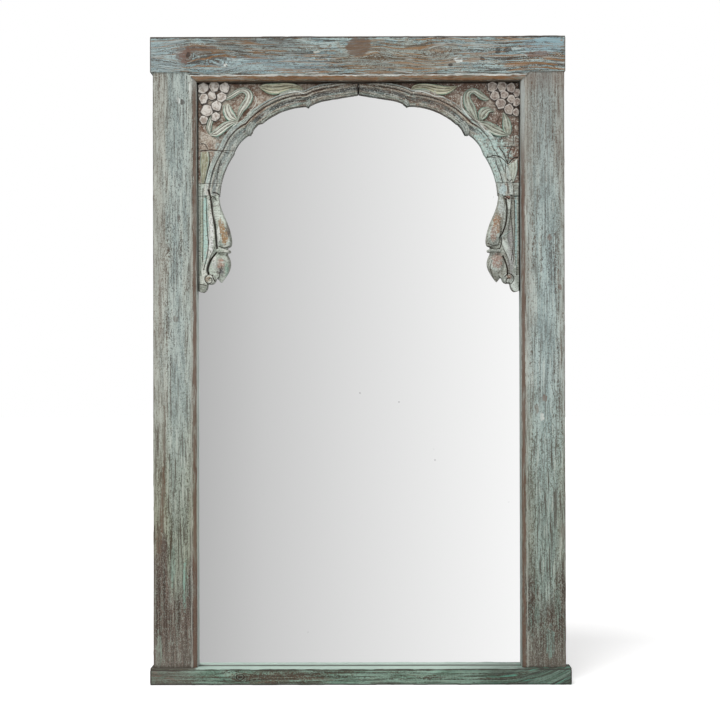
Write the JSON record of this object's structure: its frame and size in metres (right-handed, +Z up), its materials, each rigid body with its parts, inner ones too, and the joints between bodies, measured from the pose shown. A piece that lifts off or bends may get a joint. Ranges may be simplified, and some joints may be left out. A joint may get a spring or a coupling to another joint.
{
  "type": "jharokha mirror",
  "caption": "Tall mirror in a reclaimed carved doorway frame: posts, lintel and sill round a cusped arch with hanging flower pendants.",
  "frame": {"origin": "middle of the sill's underside, on the floor", "axes": "+X to the viewer's right, +Y back towards the wall, +Z up; the front faces -Y"},
  "size_m": [1.069, 0.07, 1.65],
  "materials": {
    "lintel_wood": "worn light blue-grey paint over brown hardwood, matt",
    "post_wood": "worn grey-green and teal paint over brown hardwood, matt",
    "sill_wood": "dark green-brown worn paint, matt",
    "carved_wood": "carved hardwood with rubbed cream and teal paint over brown, matt",
    "pendant_wood": "carved hardwood with rubbed pale teal and cream paint, matt",
    "peg_wood": "plain hardwood, unpainted",
    "mirror_glass": "silvered float glass with a bright face",
    "backing_board": "plain plywood",
    "hanger_steel": "zinc-plated steel plate",
    "screw_steel": "zinc-plated steel"
  },
  "bodies": {
    "root": {"lintel": "lintel_wood", "left_post": "post_wood", "right_post": "post_wood", "sill": "sill_wood", "left_spandrel": "carved_wood", "right_spandrel": "carved_wood", "left_haunch": "carved_wood", "right_haunch": "carved_wood", "left_pendant": "pendant_wood", "right_pendant": "pendant_wood", "lintel_pegs": "peg_wood", "sill_pegs": "peg_wood", "arch_dowels": "peg_wood", "setting_blocks": "peg_wood", "mirror_glass": "mirror_glass", "backing_board": "backing_board", "left_hanger_plate": "hanger_steel", "right_hanger_plate": "hanger_steel", "board_screws": "screw_steel", "hanger_screws": "screw_steel"}
  },
  "joints": []
}
